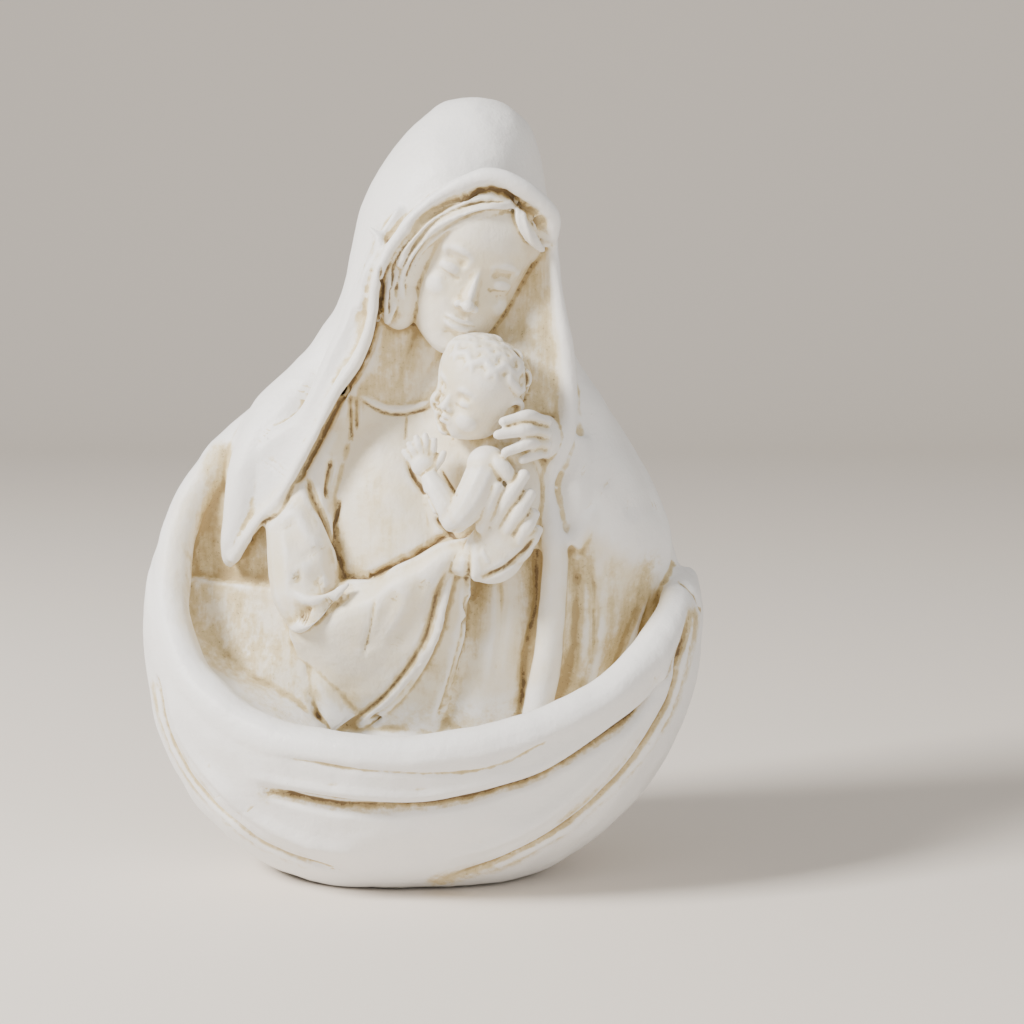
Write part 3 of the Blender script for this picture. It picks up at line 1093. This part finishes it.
def seen_inside(places, soft):
    """How far inside the outline of the bowl's mouth and the veil's edge, seen from the eye."""
    away = (MOUTH_DEPTH * MM - EYE.y) / (places[:, 1] - EYE.y)
    x, z = [(EYE[axis] + (places[:, axis] - EYE[axis]) * away) / MM for axis in (0, 2)]
    corners = np.array(INSIDE, float)
    inside = np.zeros(len(x), bool)
    gap = np.full(len(x), 1e9)
    for (ax, az), (bx, bz) in zip(corners, np.roll(corners, -1, axis=0)):
        crosses = (az > z) != (bz > z)
        inside ^= crosses & (x < (bx - ax) * (z - az) / (bz - az + 1e-12) + ax)
        share = np.clip(((x - ax) * (bx - ax) + (z - az) * (bz - az))
                        / ((bx - ax) ** 2 + (bz - az) ** 2), 0, 1)
        gap = np.minimum(gap, np.hypot(x - ax - share * (bx - ax), z - az - share * (bz - az)))
    return np.clip(0.5 + np.where(inside, gap, -gap) / (2 * soft), 0, 1)


STROKES = (
    # how strong, how far it reaches, and the line that the brush followed
    (0.75, 4.5, ((-57.5, -4, 120), (-59.5, -4, 112), (-60, -3, 104), (-60, -2, 95), (-58, -2, 87))),
    (0.80, 3.5, ((-55, -3, 87.5), (-50, -5, 86.5), (-45, -7, 86.5))),
    (0.60, 4.0, ((-47.5, -6, 106), (-48.5, -6, 97), (-47.5, -7, 89))),
    (0.45, 6.0, ((-52, -10, 78), (-44, -16, 68), (-38, -20, 60), (-30, -24, 52))),
    (0.35, 8.0, ((-64, -10, 92), (-62, -12, 80), (-54, -16, 68), (-42, -24, 56), (-20, -30, 46))),
    (0.40, 3.0, ((-36.5, -24, 76), (-32, -27, 78.5), (-27, -28, 81), (-22, -28, 84.5))),
    (0.35, 2.6, ((-35.5, -26, 82), (-33, -28, 79), (-30, -28, 77.5))),
    (0.75, 2.2, ((-31, -19, 114), (-28.5, -19, 107), (-25, -19, 100), (-22, -20, 90))),
    (0.45, 3.0, ((-24, -19, 120), (-25, -19, 110), (-23.5, -19, 100), (-22, -20, 92))),
    (0.55, 3.2, ((-21, -20, 84), (-20, -22, 89), (-12, -23, 90), (-4, -25, 93.5), (5, -27, 99))),
    (0.60, 3.0, ((7, -29, 88), (4.5, -28, 78), (1, -26, 69), (-5, -23, 60), (-12, -20, 52),
                 (-18, -16, 47))),
    (0.50, 5.0, ((17, -18, 96), (17, -19, 88), (15, -19, 78), (14, -18, 68))),
    (0.55, 3.5, ((29, -18, 99), (31, -17, 90), (31, -17, 78), (29, -16, 66), (27.5, -14, 52))),
    (0.70, 4.5, ((44.5, -16, 95), (44.5, -16, 90), (44, -15, 82), (43, -14, 72), (41, -12, 60),
                 (38, -9, 48))),
    (0.40, 5.0, ((53, -14, 90), (52, -14, 80), (50, -14, 70), (47, -12, 58))),
    (0.60, 5.0, ((63, -6, 90), (60, -7, 82), (58, -7, 72), (54, -6, 62))),
    (0.55, 4.5, ((-7, -20, 158), (-8, -19, 150), (-13, -17, 143), (-20, -16, 137))),
    (0.45, 6.0, ((-2, -16, 150), (-6, -15, 142), (0, -16, 138))),
    (0.50, 4.0, ((-10, -22, 181), (-11, -22, 172), (-12.5, -22, 163), (-13.5, -22, 155))),
    (0.60, 4.0, ((31, -22, 170), (32, -22, 160), (33, -23, 150), (34, -23, 140), (34, -24, 130))),
    (0.50, 4.0, ((27, -24, 160), (29, -24, 152), (31, -25, 143))),
    (0.70, 2.2, ((2, -26, 187), (10, -27, 192), (19, -27.5, 194.6), (27, -27, 191.5),
                 (33.5, -25, 186))),
    (0.45, 4.0, ((4, -31, 136), (3, -30, 130), (5, -32, 124), (9, -34, 117))),
    (0.45, 3.0, ((25, -33, 134), (24, -35, 127), (25, -36, 121))),
    (0.75, 2.6, ((-4, -27, 120), (0.6, -29, 112), (5, -32, 105), (10, -33, 100.4), (15, -33, 101))),
    (0.55, 2.2, ((-4, -27, 126), (0, -28, 130), (5, -28, 129), (7, -29, 121), (9, -33, 114))),
    (0.60, 3.0, ((1.6, -30, 148), (1.8, -30, 140), (4.6, -32, 131), (9, -34, 126))),
    (0.65, 3.2, ((30, -30, 148), (31, -29, 141), (29, -32, 135))),
    (0.60, 2.4, ((24, -37, 126), (25, -37, 121), (27, -36, 117))),
    (0.60, 3.0, ((17, -30, 88.6), (23, -31, 91), (29, -30, 96), (33, -28, 102))),
    # along the bowl's two lower grooves
    (0.70, 3.4, in_photo(*LEFT_GROOVE[:-1])),
    (0.75, 3.6, (*((x, y + back, z) for (x, y, z), back in zip(
        in_photo(*RIGHT_GROOVE), (4, 4, 4, 2, 1, 1))), (75, -15, 76))),
    (0.45, 3.0, ((-42, -42, 31), (-20, -47, 28), (5, -49, 29), (30, -47, 36), (52, -40, 48),
                 (68, -29, 62), (75, -19, 78))),
    (0.30, 9.0, ((-14, -22, 112), (-8, -24, 102), (-12, -24, 94))),
    (0.35, 7.0, ((4, -26, 62), (-8, -26, 54), (12, -22, 60))),
    (0.35, 9.0, ((-20, -20, 50), (0, -20, 48), (20, -18, 48), (36, -14, 50))),
)


WIPED = (
    # where the cloth took most of the wash off again, set down in the same way
    (1.0, 9, ((6, -25, 184), (11, -28, 176), (12, -28, 165), (11, -27, 158))),
    (1.0, 8, ((20, -27, 182), (20, -28, 172))),
    (1.0, 8, ((9, -36, 146), (11, -37, 138), (13, -37, 132))),
    (0.9, 3.4, ((3, -16, 152), (0.5, -15, 146), (-1, -15, 140))),
    (1.0, 5, ((41.5, -18, 132), (40.8, -16, 117), (41, -17, 106), (41, -18, 99))),
    (1.0, 3, ((31, -26, 190), (34, -24, 186), (34.5, -22, 180))),
    (0.7, 5, ((-36, -20, 106), (-32, -24, 96), (-30, -27, 86))),
    (1.0, 5, ((-44, -11, 121), (-38, -13, 115))),
    (1.0, 4, ((-9, -27, 72), (-3, -27, 71))),
    (1.0, 6, ((47, -13, 116), (52, -11, 108), (56, -10, 106))),
    (0.6, 6, ((16, -36, 120), (13, -37, 110), (24, -37, 104))),
)


def brushed_wash(places, strokes):
    """How much wash the strokes laid at each place, or wiped off."""
    wet = np.zeros(len(places))
    loose = np.array((1, 0.5, 1))
    for strength, reach, line in strokes:
        line = np.array(line, float)
        near = np.nonzero(((places > line.min(0) - 3 * reach)
                           & (places < line.max(0) + 3 * reach)).all(1))[0]
        gap = np.full(len(near), np.inf)
        for a, b in zip(line, line[1:]):
            span = (b - a) * loose
            share = np.clip(((places[near] - a) * loose @ span) / (span @ span), 0, 1)
            gap = np.minimum(gap, np.linalg.norm((places[near] - a) * loose
                                                 - share[:, None] * span, axis=1))
        wet[near] = np.maximum(wet[near], strength * np.exp(-(gap / reach) ** 2))
    return wet


places, normals = mesh_arrays(figurine)
for name, radius in (("crevice", 0.9), ("hollow", 2.8)):
    low = ((smoothed_places(figurine, radius) - places) * normals).sum(1) / MM
    store(figurine, name, low)

# The foot and the thinning
# The casting was ground flat underneath. The mesh keeps its finest parts on the faces, the
# hair and the hands.
FOOT = 0.4
SHIFT = (-0.05, 4.5, -FOOT)
MOST = 198000
CAREFUL = (
    # x, y, z and how far it reaches
    (14, -26, 172, 21), (16, -36, 140, 15), (26, -36, 122, 12), (24, -36, 106, 14),
    (1, -30, 122, 10), (10, -38, 108, 10), (-6, -22, 168, 12), (30, -24, 184, 10),
)
bm = bmesh.new()
bm.from_mesh(figurine.data)
cut = bmesh.ops.bisect_plane(
    bm, geom=[*bm.verts, *bm.edges, *bm.faces], plane_co=(0, 0, FOOT * MM),
    plane_no=(0, 0, -1), clear_outer=True)
edges = [item for item in cut["geom_cut"] if isinstance(item, bmesh.types.BMEdge)]
bmesh.ops.holes_fill(bm, edges=edges, sides=0)
bm.to_mesh(figurine.data)
bm.free()
places, _ = mesh_arrays(figurine)
free = np.ones(len(places))
for x, y, z, reach in CAREFUL:
    free[np.linalg.norm(places / MM - (x, y, z), axis=1) < reach] = 0.1
group = figurine.vertex_groups.new(name="plain")
for value in (0.1, 1.0):
    group.add(np.nonzero(free == value)[0].tolist(), value, "REPLACE")
triangles = sum(len(face.vertices) - 2 for face in figurine.data.polygons)
if triangles > MOST:
    apply_modifier(figurine, "DECIMATE", ratio=MOST / triangles, vertex_group="plain",
                   vertex_group_factor=0.0001)
figurine.vertex_groups.clear()
# thinning can leave two faces on the same corners, and both come out
clean = bmesh.new()
clean.from_mesh(figurine.data)
same_corners = {}
for face in clean.faces:
    same_corners.setdefault(frozenset(corner.index for corner in face.verts), []).append(face)
doubled = [face for faces in same_corners.values() if len(faces) > 1 for face in faces]
bmesh.ops.delete(clean, geom=doubled, context="FACES")
clean.to_mesh(figurine.data)
clean.free()
places, normals = mesh_arrays(figurine)
sheltered = shelter(figurine)
front = (places[:, 1] / MM < 10) * np.clip(0.6 - normals[:, 1], 0, 1)
store(figurine, "sheltered", sheltered)
store(figurine, "brushed", brushed_wash(places / MM, STROKES))
store(figurine, "wiped", brushed_wash(places / MM, WIPED))
store(figurine, "inside", np.maximum(seen_inside(places, 2.0) * np.clip(front * 2, 0, 1),
                                     np.clip((sheltered - 0.5) * 3, 0, 1)))
figurine.data.transform(Matrix.Translation(at(*SHIFT)))
figurine.data.polygons.foreach_set("use_smooth", [True] * len(figurine.data.polygons))
figurine.name = "painted_figurine"

# The paint
# White paint, cream inside the bowl and on the mother and child, and the brown wash over it:
# thin in the hollows, dark in the crevices, with specks and brush marks.
paint = bpy.data.materials.new("painted casting")
paint.use_nodes = True
nodes, links = paint.node_tree.nodes, paint.node_tree.links
surface = nodes["Principled BSDF"]


def node(kind, inputs=(), **values):
    made = nodes.new(kind)
    for name, value in values.items():
        setattr(made, name, value)
    for socket, value in dict(inputs).items():
        if hasattr(value, "is_output"):
            links.new(value, made.inputs[socket])
        else:
            made.inputs[socket].default_value = value
    return made


def math_node(operation, *values):
    return node("ShaderNodeMath", dict(enumerate(values)), operation=operation).outputs[0]


def times(*values):
    total = values[0]
    for value in values[1:]:
        total = math_node("MULTIPLY", total, value)
    return total


def plus(*values):
    total = values[0]
    for value in values[1:]:
        total = math_node("ADD", total, value)
    return total


def ramp(value, low, high, to_low=0.0, to_high=1.0):
    return node("ShaderNodeMapRange", {"Value": value, "From Min": low, "From Max": high,
                                       "To Min": to_low, "To Max": to_high},
                interpolation_type="SMOOTHSTEP").outputs["Result"]


def layer(name):
    return node("ShaderNodeAttribute", attribute_name=name, attribute_type="GEOMETRY").outputs[
        "Fac"]


def noise(scale, detail=3.0, rough=0.5, stretch=(1, 1, 1)):
    placed = node("ShaderNodeMapping", {"Vector": coordinates, "Scale": stretch}).outputs[0]
    return node("ShaderNodeTexNoise", {"Vector": placed, "Scale": scale, "Detail": detail,
                                       "Roughness": rough}).outputs["Fac"]


def blend(amount, first, second):
    made = nodes.new("ShaderNodeMix")
    made.data_type = "RGBA"
    for socket, value in ((made.inputs["Factor"], amount), (made.inputs[6], first),
                          (made.inputs[7], second)):
        if hasattr(value, "is_output"):
            links.new(value, socket)
        else:
            socket.default_value = value
    return made.outputs[2]


coordinates = node("ShaderNodeTexCoord").outputs["Object"]
crevice, hollow, sheltered_air, inside, brushed, wiped = [
    layer(name) for name in ("crevice", "hollow", "sheltered", "inside", "brushed", "wiped")]
cloudy = noise(70, 5, 0.6)
patchy = noise(190, 4, 0.6)
grain = noise(520, 4, 0.65)
fine = noise(1700, 3, 0.6)
streaks = noise(420, 4, 0.6, (1, 1, 0.10))

WHITE = (0.91, 0.90, 0.885, 1)
CREAM = (0.82, 0.73, 0.54, 1)
SAND = (0.68, 0.565, 0.335, 1)
TAN = (0.43, 0.32, 0.155, 1)
BROWN = (0.13, 0.078, 0.036, 1)

wetness = plus(times(ramp(hollow, 0.03, 0.45), 0.42), times(ramp(crevice, 0.004, 0.05), 0.42),
               times(ramp(sheltered_air, 0.25, 0.75), inside, 0.30), times(brushed, 0.85))
uneven = plus(times(math_node("SUBTRACT", cloudy, 0.5), 0.9),
              times(math_node("SUBTRACT", patchy, 0.5), 0.8),
              times(math_node("SUBTRACT", grain, 0.5), 0.8),
              times(math_node("SUBTRACT", streaks, 0.5), 1.3, inside))
wetness = plus(wetness, times(uneven, ramp(wetness, 0.03, 0.45, 0.12, 1.0)))
rubbed = ramp(times(hollow, -1.0), 0.03, 0.28)
wetness = times(wetness, math_node("SUBTRACT", 1.0, times(rubbed, 0.75)),
                math_node("SUBTRACT", 1.0, times(wiped, 0.55)))
cream = times(inside, ramp(cloudy, 0.3, 0.7, 0.55, 1.0),
              math_node("SUBTRACT", 1.0, times(rubbed, 0.65)))
lines = plus(ramp(crevice, 0.03, 0.11), times(ramp(hollow, 0.45, 1.1), 0.55))
lines = ramp(plus(lines, times(math_node("SUBTRACT", grain, 0.53), 2.2),
                  times(math_node("SUBTRACT", fine, 0.5), 1.2)), 0.35, 1.05)
pits = times(ramp(fine, 0.60, 0.70), ramp(plus(wetness, times(grain, 0.3)), 0.35, 0.9))
colour = blend(cream, WHITE, CREAM)
colour = blend(ramp(wetness, 0.10, 0.55), colour, SAND)
colour = blend(ramp(wetness, 0.45, 1.15), colour, TAN)
colour = blend(times(pits, 0.6), colour, BROWN)
colour = blend(times(lines, ramp(wiped, 0.0, 0.8, 0.80, 0.05)), colour, BROWN)
links.new(colour, surface.inputs["Base Color"])
links.new(ramp(wetness, 0.1, 0.8, 0.46, 0.74), surface.inputs["Roughness"])
height = plus(times(noise(110, 3, 0.5), 0.9), times(grain, 0.35), times(fine, 0.10),
              times(streaks, 0.25, inside))
bump = node("ShaderNodeBump", {"Strength": 0.55, "Distance": 0.001, "Height": height})
links.new(bump.outputs[0], surface.inputs["Normal"])
figurine.data.materials.clear()
figurine.data.materials.append(paint)

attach(figurine, "root")
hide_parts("figurine")
